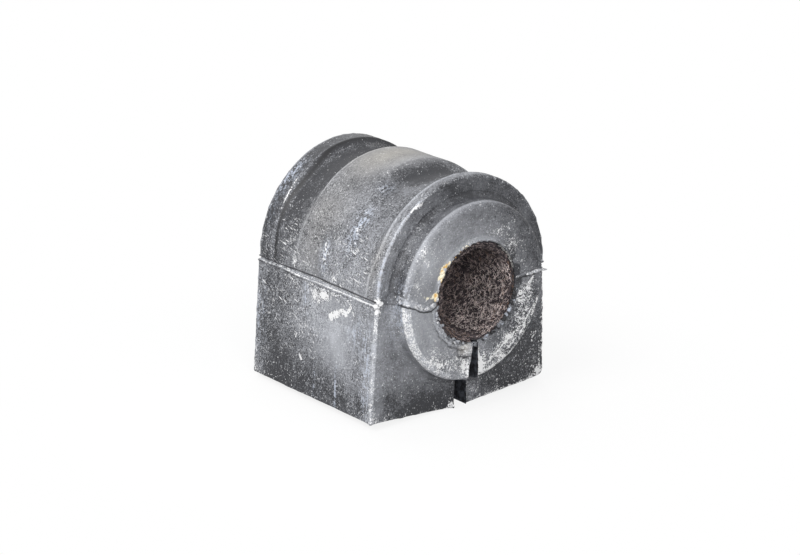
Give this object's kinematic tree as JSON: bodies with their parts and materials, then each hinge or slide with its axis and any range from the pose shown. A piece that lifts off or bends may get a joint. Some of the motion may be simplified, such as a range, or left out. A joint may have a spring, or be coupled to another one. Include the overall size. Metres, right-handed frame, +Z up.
{
  "type": "sway bar bushing",
  "caption": "D-shaped moulded rubber bushing with grooved dome, end bosses, fibre-lined bore and a slit base, which clamps round an anti-roll bar.",
  "frame": {"origin": "middle of the base, at the height of the lowest edges, which run along the slit", "axes": "+Y along the bore from front to back, +Z up from the base to the dome, +X to the right seen from the front"},
  "size_m": [0.053, 0.0544, 0.0558],
  "materials": {
    "rubber": "weathered mid-grey rubber with a chalky white bloom and scuffed edges",
    "fabric": "dark brown matted fibre, lighter on its loose ends"
  },
  "bodies": {
    "root": {"rubber_body": "rubber", "fabric_liner": "fabric"}
  },
  "joints": []
}
